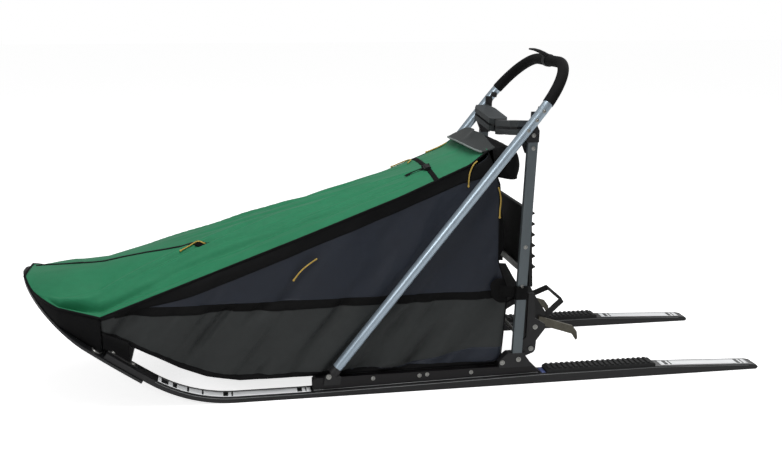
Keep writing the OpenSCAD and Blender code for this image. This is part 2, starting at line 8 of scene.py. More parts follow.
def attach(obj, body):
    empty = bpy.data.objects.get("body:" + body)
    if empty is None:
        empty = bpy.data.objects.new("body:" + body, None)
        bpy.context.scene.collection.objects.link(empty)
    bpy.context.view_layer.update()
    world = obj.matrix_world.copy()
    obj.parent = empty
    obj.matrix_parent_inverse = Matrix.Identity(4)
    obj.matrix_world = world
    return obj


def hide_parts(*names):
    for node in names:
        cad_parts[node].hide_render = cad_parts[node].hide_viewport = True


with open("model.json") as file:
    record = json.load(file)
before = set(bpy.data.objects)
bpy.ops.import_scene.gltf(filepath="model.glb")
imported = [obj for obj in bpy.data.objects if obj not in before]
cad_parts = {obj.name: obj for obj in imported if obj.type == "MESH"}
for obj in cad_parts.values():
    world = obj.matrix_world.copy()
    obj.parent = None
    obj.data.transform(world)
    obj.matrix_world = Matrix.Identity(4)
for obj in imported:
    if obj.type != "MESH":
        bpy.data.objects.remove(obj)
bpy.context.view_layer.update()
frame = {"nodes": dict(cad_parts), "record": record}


# ---- Stations and sizes in metres, most of them as in the part's source

X_POST = 0.349
X_CURVE = -0.552
X_TAIL = 1.2
X_NOSE_TIP = -X_TAIL + 0.006
NOSE_REACH = 0.965
CURVE_R = 0.46
CURVE_DEG = 34
NOSE_Z = 0.382
RUNNER_Y = 0.265
RUNNER_HALF = 0.029
RUNNER_FRONT_T = 0.018
RUNNER_MID_T = 0.032
RAIL_HALF = 0.018
RAIL_TOP = 0.06
POST_LEAN = math.tan(math.radians(2.55))
BOW_FOOT = Vector((-0.234, 0, 0.094))
BOW_SLOPE = math.radians(51)
BOW_HALF = 0.290
BOW_R = 0.016
SEAM_FRONT = (-0.945, 0.287)
SEAM_REAR = (0.263, 0.756)
SEAM = [(0, 0), (0.502, 0.459), (0.763, 0.705), (0.95, 0.904), (1, 1)]
BAG_HALF = 0.26
BAG_TOP_HALF = 0.2
CROWN_FRONT = 0.116
CROWN_REAR = 0.006
CROWN_POWER = 2.3
# Each side's name, and the sign of its Y
SIDES = (("left", -1), ("right", 1))
FABRIC_T = 0.0016
TAPE_T = 0.0014
BACK = [(RAIL_TOP, X_POST - 0.047), (0.312, X_POST - 0.026), (0.4, X_POST - 0.055),
        (SEAM_REAR[1] - 0.11, X_POST - 0.046), (SEAM_REAR[1], SEAM_REAR[0])]
FLOOR = [(X_CURVE - 0.393, RAIL_TOP + 0.170), (X_CURVE - 0.297, RAIL_TOP + 0.126),
         (X_CURVE - 0.167, RAIL_TOP + 0.053), (X_CURVE - 0.088, RAIL_TOP + 0.020),
         (X_CURVE + 0.015, RAIL_TOP), (X_POST, RAIL_TOP)]


def post_x(z):
    return X_POST + (z - 0.1) * POST_LEAN


def lookup(value, table):
    """The second column of a table at a value of its first, in straight lines between rows."""
    if value <= table[0][0]:
        return table[0][1]
    for (a, va), (b, vb) in zip(table, table[1:]):
        if value <= b:
            return va + (vb - va) * (value - a) / (b - a)
    return table[-1][1]


def smooth(low, high, value):
    share = min(1.0, max(0.0, (value - low) / (high - low)))
    return share * share * (3 - 2 * share)


def hump(value, centre, width):
    return math.exp(-((value - centre) / width) ** 2)


def side_y(z):
    lean = (BAG_HALF - BAG_TOP_HALF) / (SEAM_REAR[1] - SEAM_FRONT[1])
    return BAG_HALF - lean * max(0.0, z - SEAM_FRONT[1])


def seam_point(share):
    return (SEAM_FRONT[0] + (SEAM_REAR[0] - SEAM_FRONT[0]) * share,
            SEAM_FRONT[1] + (SEAM_REAR[1] - SEAM_FRONT[1]) * lookup(share, SEAM))


# The brush bow: an arc that goes on from the runners' curve to the nose tip
CURVE_END = (X_CURVE - CURVE_R * math.sin(math.radians(CURVE_DEG)),
             CURVE_R * (1 - math.cos(math.radians(CURVE_DEG))))
CHORD = (-X_TAIL - CURVE_END[0], NOSE_Z - CURVE_END[1])
CHORD_A = math.atan2(CHORD[1], -CHORD[0])
CURVE_A = math.radians(CURVE_DEG)
NOSE_R = math.hypot(*CHORD) / (2 * math.sin(CHORD_A - CURVE_A))
NOSE_CENTRE = (CURVE_END[0] + NOSE_R * math.sin(CURVE_A),
               CURVE_END[1] + NOSE_R * math.cos(CURVE_A))


def sheet_point(x, up):
    """Side view point square above the brush bow's inner face at a station."""
    a = math.asin((NOSE_CENTRE[0] - x) / NOSE_R)
    return (NOSE_CENTRE[0] - (NOSE_R - up) * math.sin(a),
            NOSE_CENTRE[1] - (NOSE_R - up) * math.cos(a))


def sheet_half(x):
    taper = CURVE_END[0] - 0.19
    tip = -X_TAIL - 0.0015
    if x >= taper:
        return 0.3
    return 0.3 * (1 - ((taper - x) / (taper - tip)) ** 1.6) ** (1 / 1.7)


def nose_x(g):
    return SEAM_FRONT[0] + (X_NOSE_TIP - SEAM_FRONT[0]) * g


def nose_half(g):
    return min(BAG_HALF, sheet_half(nose_x(g)) - 0.01)


def nose_edge_z(g):
    low = sheet_point(nose_x(g), 0.0003)[1] + 0.008
    return max(low, SEAM_FRONT[1] + (NOSE_Z - 0.018 - SEAM_FRONT[1]) * g)


def nose_top_z(g):
    top = SEAM_FRONT[1] + CROWN_FRONT
    return top + (NOSE_Z - 0.004 - top) * g ** 0.8


RUNNER_TOP = [(-0.352, RUNNER_FRONT_T), (0.434, RUNNER_MID_T), (0.841, RUNNER_MID_T),
              (1.176, RUNNER_FRONT_T)]


def runner_top(x, up):
    """Side view point on a runner's top, or above it, at a station."""
    radius = CURVE_R - RUNNER_FRONT_T
    if x < X_CURVE:
        a = math.asin((X_CURVE - x) / radius)
        return (X_CURVE - (radius - up) * math.sin(a), CURVE_R - (radius - up) * math.cos(a))
    return (x, lookup(x, RUNNER_TOP) + up)


# ---- Materials

def srgb(red, green, blue):
    def linear(c):
        c /= 255
        return c / 12.92 if c <= 0.04045 else ((c + 0.055) / 1.055) ** 2.4
    return (linear(red), linear(green), linear(blue), 1.0)


def node(tree, kind, **settings):
    made = tree.nodes.new(kind)
    for key, value in settings.items():
        if hasattr(made, key):
            setattr(made, key, value)
        else:
            made.inputs[key].default_value = value
    return made


def finish_material(name, light, dark, rough, metal=0.0, patch=6.0, fleck=60.0, grain=400.0,
                    grain_depth=0.0002, weave=0.0, weave_depth=0.0002, stretch=(1, 1, 1),
                    sheen=0.0, coat=0.0, specular=0.5):
    """A procedural finish: patches and flecks of two tones, uneven gloss, and grain or a weave
    in relief. A stretch below 1 draws the marks out along that axis."""
    material = bpy.data.materials.new(name)
    material.use_nodes = True
    tree = material.node_tree
    link = tree.links.new
    shader = tree.nodes["Principled BSDF"]
    shader.inputs["Metallic"].default_value = metal
    shader.inputs["Specular IOR Level"].default_value = specular
    if sheen:
        shader.inputs["Sheen Weight"].default_value = sheen
        shader.inputs["Sheen Roughness"].default_value = 0.5
    if coat:
        shader.inputs["Coat Weight"].default_value = coat
        shader.inputs["Coat Roughness"].default_value = 0.15
    place = node(tree, "ShaderNodeTexCoord")
    scaled = node(tree, "ShaderNodeMapping")
    scaled.inputs["Scale"].default_value = stretch
    link(place.outputs["Object"], scaled.inputs["Vector"])
    patches = node(tree, "ShaderNodeTexNoise", Scale=patch, Detail=4.0, Roughness=0.6)
    flecks = node(tree, "ShaderNodeTexNoise", Scale=fleck, Detail=6.0, Roughness=0.7)
    link(scaled.outputs["Vector"], patches.inputs["Vector"])
    link(scaled.outputs["Vector"], flecks.inputs["Vector"])
    blend = node(tree, "ShaderNodeMix", data_type="FLOAT")
    blend.inputs[0].default_value = 0.4
    link(patches.outputs["Fac"], blend.inputs[2])
    link(flecks.outputs["Fac"], blend.inputs[3])
    spread = node(tree, "ShaderNodeMapRange")
    spread.inputs["From Min"].default_value = 0.25
    spread.inputs["From Max"].default_value = 0.75
    link(blend.outputs[0], spread.inputs["Value"])
    colour = node(tree, "ShaderNodeMix", data_type="RGBA")
    colour.inputs[6].default_value = dark
    colour.inputs[7].default_value = light
    link(spread.outputs["Result"], colour.inputs[0])
    link(colour.outputs[2], shader.inputs["Base Color"])
    gloss = node(tree, "ShaderNodeMapRange")
    gloss.inputs["To Min"].default_value = rough[0]
    gloss.inputs["To Max"].default_value = rough[1]
    link(flecks.outputs["Fac"], gloss.inputs["Value"])
    link(gloss.outputs["Result"], shader.inputs["Roughness"])
    fine = node(tree, "ShaderNodeTexNoise", Scale=grain, Detail=3.0)
    link(scaled.outputs["Vector"], fine.inputs["Vector"])
    relief = node(tree, "ShaderNodeBump", Strength=0.6, Distance=grain_depth)
    link(fine.outputs["Fac"], relief.inputs["Height"])
    last = relief
    if weave:
        for direction in ("X", "Z"):
            thread = node(tree, "ShaderNodeTexWave", bands_direction=direction, Scale=weave,
                          Distortion=0.6, Detail=1.0)
            link(place.outputs["Object"], thread.inputs["Vector"])
            thread_relief = node(tree, "ShaderNodeBump", Strength=0.5, Distance=weave_depth)
            link(thread.outputs["Fac"], thread_relief.inputs["Height"])
            link(last.outputs["Normal"], thread_relief.inputs["Normal"])
            last = thread_relief
    link(last.outputs["Normal"], shader.inputs["Normal"])
    return material


GREEN = finish_material("green_nylon", srgb(46, 140, 98), srgb(30, 116, 78), (0.42, 0.6),
                        patch=3.0, fleck=40, weave=260, weave_depth=0.00025, sheen=0.1, specular=0.22)
NAVY = finish_material("navy_nylon", srgb(24, 33, 48), srgb(16, 22, 35), (0.34, 0.5),
                       patch=4.0, fleck=50, weave=260, weave_depth=0.00025, sheen=0.1, specular=0.40)
LOWER = finish_material("charcoal_nylon", srgb(50, 53, 53), srgb(36, 39, 39), (0.42, 0.62),
                        patch=4.0, fleck=50, weave=220, weave_depth=0.0003, sheen=0.1, specular=0.35)
BLACK_CLOTH = finish_material("black_nylon", srgb(21, 21, 22), srgb(12, 12, 13), (0.5, 0.7),
                              patch=5.0, fleck=60, weave=240, weave_depth=0.0003, specular=0.12)
WEBBING = finish_material("black_webbing", srgb(22, 22, 22), srgb(11, 11, 12), (0.55, 0.75),
                          patch=20, fleck=120, weave=420, weave_depth=0.0005, specular=0.12)
GREY_CLOTH = finish_material("grey_nylon", srgb(60, 64, 64), srgb(44, 47, 47), (0.45, 0.62),
                             patch=5.0, fleck=60, weave=240, weave_depth=0.0003, sheen=0.1, specular=0.22)
BINDING = finish_material("pale_binding", srgb(150, 158, 156), srgb(120, 128, 126), (0.5, 0.7),
                          patch=30, fleck=200, weave=500, weave_depth=0.0003)
YELLOW = finish_material("yellow_cord", srgb(232, 200, 104), srgb(204, 166, 66), (0.5, 0.7),
                         patch=60, fleck=400, grain=900, weave=700, weave_depth=0.0006)
RUNNER = finish_material("runner_plastic", srgb(26, 26, 28), srgb(15, 15, 17), (0.28, 0.46),
                         patch=5, fleck=90, stretch=(0.15, 1, 1), grain=260, grain_depth=0.0001)
RAIL = finish_material("rail_black", srgb(24, 22, 24), srgb(14, 13, 15), (0.32, 0.5), metal=0.35,
                       patch=8, fleck=120, stretch=(0.1, 1, 1), grain=500, grain_depth=0.0001)
TREAD = finish_material("moulded_rubber", srgb(30, 31, 31), srgb(15, 15, 16), (0.6, 0.85),
                        patch=20, fleck=150, grain=700, grain_depth=0.0004)
NYLON = finish_material("moulded_nylon", srgb(26, 26, 28), srgb(14, 14, 16), (0.38, 0.58),
                        patch=14, fleck=140, grain=900, grain_depth=0.0002)
SHEET = finish_material("black_sheet", srgb(24, 25, 27), srgb(13, 13, 15), (0.24, 0.42),
                        patch=5, fleck=80, grain=160, grain_depth=0.0002, coat=0.15)
GREY_NYLON = finish_material("grey_nylon_moulding", srgb(66, 70, 72), srgb(45, 49, 51), (0.4, 0.6),
                             patch=12, fleck=120, grain=800, grain_depth=0.0003)
SILVER = finish_material("silver_anodised", srgb(190, 206, 218), srgb(164, 180, 194), (0.3, 0.42),
                         metal=0.75, patch=4, fleck=90, stretch=(0.2, 1, 0.2), grain=600,
                         grain_depth=0.00006)
GREY_METAL = finish_material("grey_anodised", srgb(112, 120, 124), srgb(92, 100, 104), (0.36, 0.5),
                             metal=0.6, patch=5, fleck=90, stretch=(1, 1, 0.12), grain=500,
                             grain_depth=0.00008)
STEEL = finish_material("bolt_steel", srgb(190, 190, 186), srgb(140, 140, 136), (0.25, 0.45),
                        metal=0.9, patch=60, fleck=400, grain=900, grain_depth=0.0001)
CLAW = finish_material("worn_steel", srgb(128, 124, 112), srgb(84, 82, 74), (0.4, 0.62),
                       metal=0.7, patch=24, fleck=160, grain=500, grain_depth=0.0003)
COATED = finish_material("powder_coat", srgb(28, 28, 29), srgb(16, 16, 17), (0.4, 0.6),
                         patch=16, fleck=160, grain=900, grain_depth=0.0003)
FOAM = finish_material("grip_foam", srgb(20, 20, 21), srgb(9, 9, 10), (0.75, 0.92),
                       patch=30, fleck=260, grain=1100, grain_depth=0.0006, specular=0.2)
WHITE_FILM = finish_material("white_film", srgb(250, 251, 252), srgb(238, 240, 242), (0.3, 0.5),
                             patch=20, fleck=200, grain=500, grain_depth=0.00005)
BLUE_FILM = finish_material("blue_film", srgb(90, 104, 160), srgb(62, 74, 126), (0.25, 0.4),
                            patch=20, fleck=200, grain=500, grain_depth=0.00005)
# Pale grey for the thin strips along the rails and runners, a painted edge highlight
PAINTED_EDGE_HIGHLIGHT = finish_material("painted_edge_highlight_strip", srgb(150, 152, 152), srgb(112, 114, 114), (0.3, 0.45),
                       metal=0.5, patch=12, fleck=120, stretch=(0.1, 1, 1))

SLOT_FINISH = {
    "runner": RUNNER, "rail": RAIL, "tread": TREAD, "black_plastic": NYLON,
    "black_sheet": SHEET, "grey_plastic": GREY_NYLON, "silver_tube": SILVER,
    "grey_tube": GREY_METAL, "steel": STEEL, "black_metal": COATED, "foam": FOAM,
    "navy_fabric": NAVY, "black_fabric": BLACK_CLOTH, "green_fabric": GREEN,
    "grey_fabric": GREY_CLOTH,
}
node_slot = {s["node"]: s["material_slot"] for s in frame["record"]["subparts"]}
for name, obj in frame["nodes"].items():
    finish = CLAW if name.startswith("claw_") else SLOT_FINISH[node_slot[name]]
    obj.data.materials.clear()
    obj.data.materials.append(finish)


# ---- Builders

def on_sled(obj, material):
    """Gives a piece its finish, and fixes it to the sled."""
    obj.data.materials.clear()
    obj.data.materials.append(material)
    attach(obj, "sled")


def add_mesh(name, points, faces, smooth_faces=True):
    mesh = bpy.data.meshes.new(name)
    mesh.from_pydata([tuple(p) for p in points], [], faces)
    mesh.update()
    for face in mesh.polygons:
        face.use_smooth = smooth_faces
    obj = bpy.data.objects.new(name, mesh)
    bpy.context.scene.collection.objects.link(obj)
    return obj


def grid(name, rows, thickness=0.0, flip=False):
    """A surface through rows of points, given a thickness below its outer face."""
    cols = len(rows[0])
    points = [p for row in rows for p in row]
    faces = []
    for i in range(len(rows) - 1):
        for j in range(cols - 1):
            a = i * cols + j
            face = (a, a + 1, a + cols + 1, a + cols)
            faces.append(tuple(reversed(face)) if flip else face)
    obj = add_mesh(name, points, faces)
    if thickness:
        solid = obj.modifiers.new("thickness", "SOLIDIFY")
        solid.thickness = thickness
        solid.offset = -1.0
    return obj


def rings_between(count, sides, closed=False):
    """Faces between rings of points, with end caps unless the rings meet."""
    faces = []
    for i in range(count if closed else count - 1):
        near, far = i * sides, (i + 1) % count * sides
        for k in range(sides):
            after = (k + 1) % sides
            faces.append((near + k, near + after, far + after, far + k))
    if not closed:
        faces.append(tuple(reversed(range(sides))))
        faces.append(tuple(range((count - 1) * sides, count * sides)))
    return faces


def tube(name, path, radius, sides=8, closed=False):
    """A mesh tube along a path."""
    path = [Vector(p) for p in path]
    count = len(path)
    points = []
    normal = None
    for i, p in enumerate(path):
        before = path[i - 1] if (i or closed) else p
        after = path[(i + 1) % count] if (i < count - 1 or closed) else p
        along = (after - before).normalized()
        if normal is None:
            normal = along.orthogonal().normalized()
        normal = (normal - along * normal.dot(along)).normalized()
        across = along.cross(normal)
        for k in range(sides):
            a = 2 * math.pi * k / sides
            points.append(p + normal * (radius * math.cos(a)) + across * (radius * math.sin(a)))
    return add_mesh(name, points, rings_between(count, sides, closed))


def curve_through(points, steps=8):
    """Points of a smooth curve through a few."""
    pts = [Vector(p) for p in points]
    ends = [2 * pts[0] - pts[1]] + pts + [2 * pts[-1] - pts[-2]]
    out = []
    for i in range(1, len(ends) - 2):
        a, b, c, d = ends[i - 1:i + 3]
        for k in range(steps):
            t = k / steps
            out.append(0.5 * (2 * b + (c - a) * t + (2 * a - 5 * b + 4 * c - d) * t ** 2
                              + (3 * b - a - 3 * c + d) * t ** 3))
    out.append(pts[-1])
    return out


def join(name, parts):
    """One mesh object of several, at the origin."""
    points, faces, shades = [], [], []
    for obj in parts:
        start = len(points)
        points += [obj.matrix_world @ v.co for v in obj.data.vertices]
        for f in obj.data.polygons:
            faces.append(tuple(start + i for i in f.vertices))
            shades.append(f.use_smooth)
        old = obj.data
        bpy.data.objects.remove(obj)
        bpy.data.meshes.remove(old)
    made = add_mesh(name, points, faces)
    for f, shade in zip(made.data.polygons, shades):
        f.use_smooth = shade
    return made


def lathe(name, profile, where, axis, sides=24):
    """A turned form: (radius, height) pairs about an axis through a point."""
    turn = Vector((0, 0, 1)).rotation_difference(Vector(axis)).to_matrix()
    points = []
    for r, h in profile:
        for k in range(sides):
            a = 2 * math.pi * k / sides
            points.append(Vector(where) + turn @ Vector((r * math.cos(a), r * math.sin(a), h)))
    return add_mesh(name, points, rings_between(len(profile), sides), smooth_faces=False)


def bolt(where, axis, radius):
    """A pan head with a socket, on a washer."""
    return lathe("bolt", [
        (1.5 * radius, -0.002), (1.5 * radius, 0.0008), (1.02 * radius, 0.0012),
        (radius, 0.0020), (0.86 * radius, 0.0038), (0.62 * radius, 0.0046),
        (0.46 * radius, 0.0047), (0.44 * radius, 0.0026), (0.1 * radius, 0.0024)], where, axis)


def prism(name, near, far):
    """A plate between two like outlines."""
    n = len(near)
    faces = [tuple(range(n)), tuple(reversed(range(n, 2 * n)))]
    faces += [(i, (i + 1) % n, n + (i + 1) % n, n + i) for i in range(n)]
    return add_mesh(name, near + far, faces, smooth_faces=False)


def upward(a, b):
    """The unit normal of two directions that points up."""
    normal = a.cross(b).normalized()
    return normal if normal.z >= 0 else -normal


def wobble(x, y, z, scale, seed):
    return noise.noise(Vector((x * scale, y * scale, z * scale + seed)))


# ---- The cover: one fabric over nose and basket

def cover_point(u, v):
    """u from the nose (-1) over the seam's front (0) to its rear end (1), v across (-1 to 1)."""
    if u < 0:
        g = -u * NOSE_REACH
        x, half, edge, top = nose_x(g), nose_half(g), nose_edge_z(g), nose_top_z(g)
        rise = top - edge
    else:
        x, edge = seam_point(u)
        half = side_y(edge)
        rise = CROWN_REAR + (CROWN_FRONT - CROWN_REAR) * (1 - u)
    return Vector((x, v * half, edge + rise * (1 - abs(v) ** CROWN_POWER)))


# Folds that fan out from each front corner: rise up the cover, start, stop and depth
FAN = ((0.10, 0.05, 0.70, 0.010), (0.24, 0.04, 0.95, 0.014), (0.42, 0.06, 1.00, 0.012),
       (0.62, 0.10, 0.80, 0.008), (0.32, 0.35, 1.30, 0.008), (0.16, 0.55, 1.20, 0.006))
# Pulls along the cover: distance up from its edge, start, stop and depth
PULLS = ((0.07, 0.45, 1.1, 0.0050), (0.13, 0.35, 1.1, 0.0044), (0.19, 0.5, 1.2, 0.0040),
         (0.25, 0.2, 1.0, 0.0032))
FOLD_SCALE = 1.35


def fold(depth, place, line, width, gap, spread):
    """A crease along a line, with a lower ridge beside it."""
    return depth * (spread * hump(place, line + gap, width[1]) - hump(place, line, width[0]))


def cover_folds(u, v):
    """Height of the cover's folds over its plain form, flat at its hems and ends."""
    along = u * (0.25 if u < 0 else 1.3)
    up = (1 - abs(v)) * 0.3
    far = 1 if v > 0 else 0
    from_corner = along + 0.22
    width = 0.006 + 0.022 * max(0.0, from_corner)
    height = 0.0
    for slope, start, stop, depth in FAN:
        reach = smooth(start, start + 0.12, from_corner) * (1 - smooth(stop - 0.25, stop, from_corner))
        line = 0.012 + slope * (1 + 0.12 * far) * max(0.0, from_corner - 0.05) * 0.45
        height += fold(depth * reach, up, line, (width, width * 0.9), 1.7 * width, 0.6)
    for k, (base, start, stop, depth) in enumerate(PULLS):
        line = base + 0.02 * math.sin(3 * along + 2 * k + far)
        reach = smooth(start, start + 0.2, along) * (1 - smooth(stop - 0.2, stop, along))
        height += fold(depth * reach, up, line, (0.012, 0.012), 0.02, 0.5)
    p = cover_point(u, v)
    height += 0.0022 * wobble(p.x * 0.6, p.y, p.z, 9, 3.1 + far)
    height += 0.0010 * wobble(p.x * 0.4, p.y, p.z, 26, 7.7)
    hem = smooth(0.0, 0.05, 1 - abs(v))
    ends = smooth(0.0, 0.05, 1 - u) * smooth(0.0, 0.25, u + 1)
    return FOLD_SCALE * height * hem * ends


def cover_surface(u, v, lift=0.0):
    step = 0.004
    p = cover_point(u, v)
    du = cover_point(min(1, u + step), v) - cover_point(max(-1, u - step), v)
    v1, v2 = max(-1, v - step), min(1, v + step)
    dv = cover_point(u, v2) - cover_point(u, v1)
    return p + upward(du, dv) * (cover_folds(u, v) - 0.001 + lift)


NOSE_ROWS = 34
COVER_ROWS = 170
COVER_COLS = 96
stations = [-1 + i / NOSE_ROWS for i in range(NOSE_ROWS)]
stations += [i / COVER_ROWS for i in range(COVER_ROWS + 1)]
across = [math.sin(math.pi / 2 * (2 * j / COVER_COLS - 1)) for j in range(COVER_COLS + 1)]
cover = grid("cover_fabric", [[cover_surface(u, v) for v in across] for u in stations],
             thickness=FABRIC_T)
on_sled(cover, GREEN)
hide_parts("bag_cover", "bag_nose")


def strip_on(name, line, width, lift, thickness):
    """A flat strip of webbing or tape that lies on the cover, along a line of (u, v) points."""
    section = ((-1, 0), (-0.96, 1), (-0.5, 1.15), (0, 1.2), (0.5, 1.15), (0.96, 1), (1, 0))
    step = 0.01
    samples = [cover_surface(u, v, lift) for u, v in line]
    rows = []
    for i, (u, v) in enumerate(line):
        along = (samples[min(len(line) - 1, i + 1)] - samples[max(0, i - 1)]).normalized()
        normal = upward(cover_surface(u + step, v, lift) - cover_surface(u - step, v, lift),
                        cover_surface(u, v + step, lift) - cover_surface(u, v - step, lift))
        sideways = along.cross(normal).normalized()
        rows.append([samples[i] + sideways * (width * k / 2) + normal * (thickness * h)
                     for k, h in section])
    return grid(name, rows, thickness=thickness)


# Zip along the nose: it starts past the crest at the front and ends on the near side
ZIP_FROM = (-1.172, 0.046)
ZIP_TO = (-0.652, -0.110)


def cover_share(x, y):
    """The cover's own (u, v) at a place in plan."""
    u = (x - SEAM_FRONT[0]) / (SEAM_REAR[0] - SEAM_FRONT[0])
    if u >= 0:
        return u, y / side_y(seam_point(u)[1])
    g = (SEAM_FRONT[0] - x) / (SEAM_FRONT[0] - X_NOSE_TIP)
    return -g / NOSE_REACH, y / nose_half(g)


def zip_at(t):
    return cover_share(*(a + (b - a) * t for a, b in zip(ZIP_FROM, ZIP_TO)))


ZIP_STEPS = 60
zip_tape = strip_on("nose_zip", [zip_at(k / ZIP_STEPS) for k in range(ZIP_STEPS + 1)],
                    0.011, 0.0012, 0.0012)
on_sled(zip_tape, WEBBING)
TEETH = 120
TOOTH = [(0.0022, 0), (0.0022, 0.0008), (0.0014, 0.0012)]
teeth = [lathe("tooth", TOOTH, cover_surface(*zip_at(k / TEETH), 0.0036), (0.0, -0.3, 1.0), sides=6)
         for k in range(TEETH)]
on_sled(join("nose_zip_teeth", teeth), NYLON)
tab = strip_on("zip_end_tab", [(0.238 + 0.007 * k, -0.440 - 0.009 * k) for k in range(6)],
               0.02, 0.003, 0.002)
on_sled(tab, WEBBING)

PIPING_R = 0.0036
for label, side in SIDES:
    rim = [cover_point(-1 + i / 30, side) for i in range(31)]
    rim += [cover_point(i / 90, side) for i in range(1, 91)]
    rim = [p + Vector((0, side * 0.0015, -0.001)) for p in rim]
    on_sled(tube(f"cover_piping_{label}", rim, PIPING_R), BLACK_CLOTH)
nose_front = [cover_point(-1, -1 + 2 * k / 24) + Vector((-0.002, 0, 0)) for k in range(25)]
on_sled(tube("nose_piping", nose_front, PIPING_R), BLACK_CLOTH)


# ---- The nose's black skirt, down to the brush bow

def skirt(label, side):
    rows = []
    for i in range(33):
        g = NOSE_REACH * (1 - i / 32)
        x, half, top = nose_x(g), nose_half(g), nose_edge_z(g)
        low = sheet_point(x, 0.0006)[1]
        row = []
        for k in range(9):
            t = k / 8
            z = top + (low - top) * t
            puff = 0.004 * math.sin(math.pi * t) * (1 - g) + 0.002 * wobble(x, 0, z, 30, side)
            row.append((x, side * (half + 0.001 + puff + 0.006 * t), z))
        rows.append(row)
    return grid(f"nose_skirt_{label}", rows, thickness=FABRIC_T, flip=side > 0)


def gusset(label, side):
    """From the skirt's rear edge back to the brush bow's ears, below the bag's front corner."""
    rows = []
    for i in range(17):
        x = SEAM_FRONT[0] + 0.003 + 0.077 * i / 16
        top, low = lookup(x, FLOOR) + 0.012, sheet_point(x, 0.020)[1]
        rows.append([(x, side * (BAG_HALF + 0.0045 + 0.001 * math.sin(k)), top + (low - top) * k / 8)
                     for k in range(9)])
    return grid(f"nose_gusset_{label}", rows, thickness=TAPE_T, flip=side < 0)


for make in (gusset, skirt):
    for label, side in SIDES:
        on_sled(make(label, side), BLACK_CLOTH)


# ---- The bag's sides

STRIPE_Z = 0.297
STRIPE_HALF = 0.013
# The share of the panel's length past which it bends to follow the bag's rear edge
REAR_FROM = 0.93


def side_point(s, t):
    """s along (0 front, 1 rear), t down from the seam (0) to the rail (1)."""
    x_low = SEAM_FRONT[0] + (BACK[0][1] - SEAM_FRONT[0]) * s
    x_top, z_top = seam_point(s)
    z_low = lookup(x_low, FLOOR)
    z = z_top + (z_low - z_top) * t
    x = x_top + (x_low - x_top) * t
    if s > REAR_FROM:
        x += (lookup(z, BACK) - x) * (s - REAR_FROM) / (1 - REAR_FROM)
    return x, z


def side_folds(x, z, seed):
    """Slanting folds that rise to the rear: wide and soft above the stripe, closer below it."""
    out = 0.0
    above = smooth(STRIPE_Z - 0.01, STRIPE_Z + 0.02, z)
    slant = math.radians(50)
    p = x * math.cos(slant) + z * math.sin(slant)
    q = -x * math.sin(slant) + z * math.cos(slant)
    for share, size, tight in ((above, 0.0050, 9), (1 - above, 0.0085, 13)):
        n = noise.noise(Vector((p * 2.2, q * tight, seed)))
        fine = noise.noise(Vector((p * 4.0, q * tight * 2.3, seed + 5)))
        out += share * size * (1.3 * n + 0.5 * fine - 0.5 * abs(fine))
    # A pull from the rear strap's patch towards the middle of the panel
    reach = hump(x, 0.16, 0.16) * hump(z, 0.31 + 0.25 * (x - 0.3), 0.02)
    return 2.6 * out - 0.006 * reach


def side_surface(side, seed):
    def at(s, t, lift=0.0):
        x, z = side_point(min(1.0, max(0.0, s)), min(1.0, max(0.0, t)))
        hem = (smooth(0, 0.06, t) * smooth(0, 0.05, 1 - t) * smooth(0, 0.04, s)
               * smooth(0, 0.03, 1 - s))
        out = side_folds(x, z, seed) * hem - 0.0012
        return Vector((x, side * (side_y(z) + out + lift), z))
    return at


SIDE_ROWS = 150
SIDE_COLS = 70
for label, side in SIDES:
    surface = side_surface(side, 2.3 if side < 0 else 8.9)
    rows = [[surface(i / SIDE_ROWS, j / SIDE_COLS) for j in range(SIDE_COLS + 1)]
            for i in range(SIDE_ROWS + 1)]
    panel = grid(f"side_fabric_{label}", rows, thickness=FABRIC_T, flip=side < 0)
    on_sled(panel, NAVY)
    panel.data.materials.append(LOWER)
    for face in panel.data.polygons:
        if face.center.z < STRIPE_Z:
            face.material_index = 1
    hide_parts(f"bag_side_{label}")

    def tape(name, top_edge, bottom_edge, material, lift=0.0012, from_s=0.0, to_s=1.0):
        """A sewn strip between two edges, given as shares down the side at a share along."""
        strip = []
        for i in range(121):
            s = from_s + (to_s - from_s) * i / 120
            a, b = top_edge(s), bottom_edge(s)
            strip.append([surface(s, a + (b - a) * k / 6, lift + 0.0006 * math.sin(math.pi * k / 6))
                          for k in range(7)])
        on_sled(grid(f"{name}_{label}", strip, thickness=TAPE_T, flip=side < 0), material)

    def share_of(s, metres):
        """A depth below the seam, or above the lower edge, as a share of the side's height."""
        return metres / max(0.03, seam_point(s)[1] - surface(s, 1.0).z)

    def share_at(s, z):
        """The share down the side at a height."""
        top = seam_point(s)[1]
        return (top - z) / (top - surface(s, 1.0).z)

    tape("seam_band", lambda s: 0.002,
         lambda s: min(0.98, share_of(s, 0.012 + 0.033 * smooth(0, 0.25, s))),
         BLACK_CLOTH)
    tape("side_stripe", lambda s: max(0.02, share_at(s, STRIPE_Z + STRIPE_HALF)),
         lambda s: share_at(s, STRIPE_Z - STRIPE_HALF), WEBBING, from_s=0.035)
    tape("bottom_hem", lambda s: 1 - share_of(s, 0.016), lambda s: 0.995,
         BLACK_CLOTH)
    tape("low_strip", lambda s: 1 - share_of(s, 0.016 + 0.05 * smooth(0.72, 0.97, s)),
         lambda s: 1 - share_of(s, 0.012), NAVY, lift=0.0008, from_s=0.6, to_s=0.99)
    rear = [[surface(1 - 0.009 * j / 4, k / 40, 0.0032) for j in range(5)] for k in range(41)]
    on_sled(grid(f"rear_hem_{label}", rear, thickness=TAPE_T, flip=side > 0),
            BLACK_CLOTH)
    # Stitching: short raised threads along both edges of the seam band
    threads = []
    for depth in (0.006, 0.038):
        for i in range(150):
            s = 0.2 + 0.79 * i / 150
            ends = [surface(at, share_of(at, depth), 0.0022) for at in (s, s + 0.0028)]
            threads.append(tube("thread", ends, 0.0006, sides=4))
    on_sled(join(f"band_stitches_{label}", threads), WEBBING)


# ---- Behind the bag

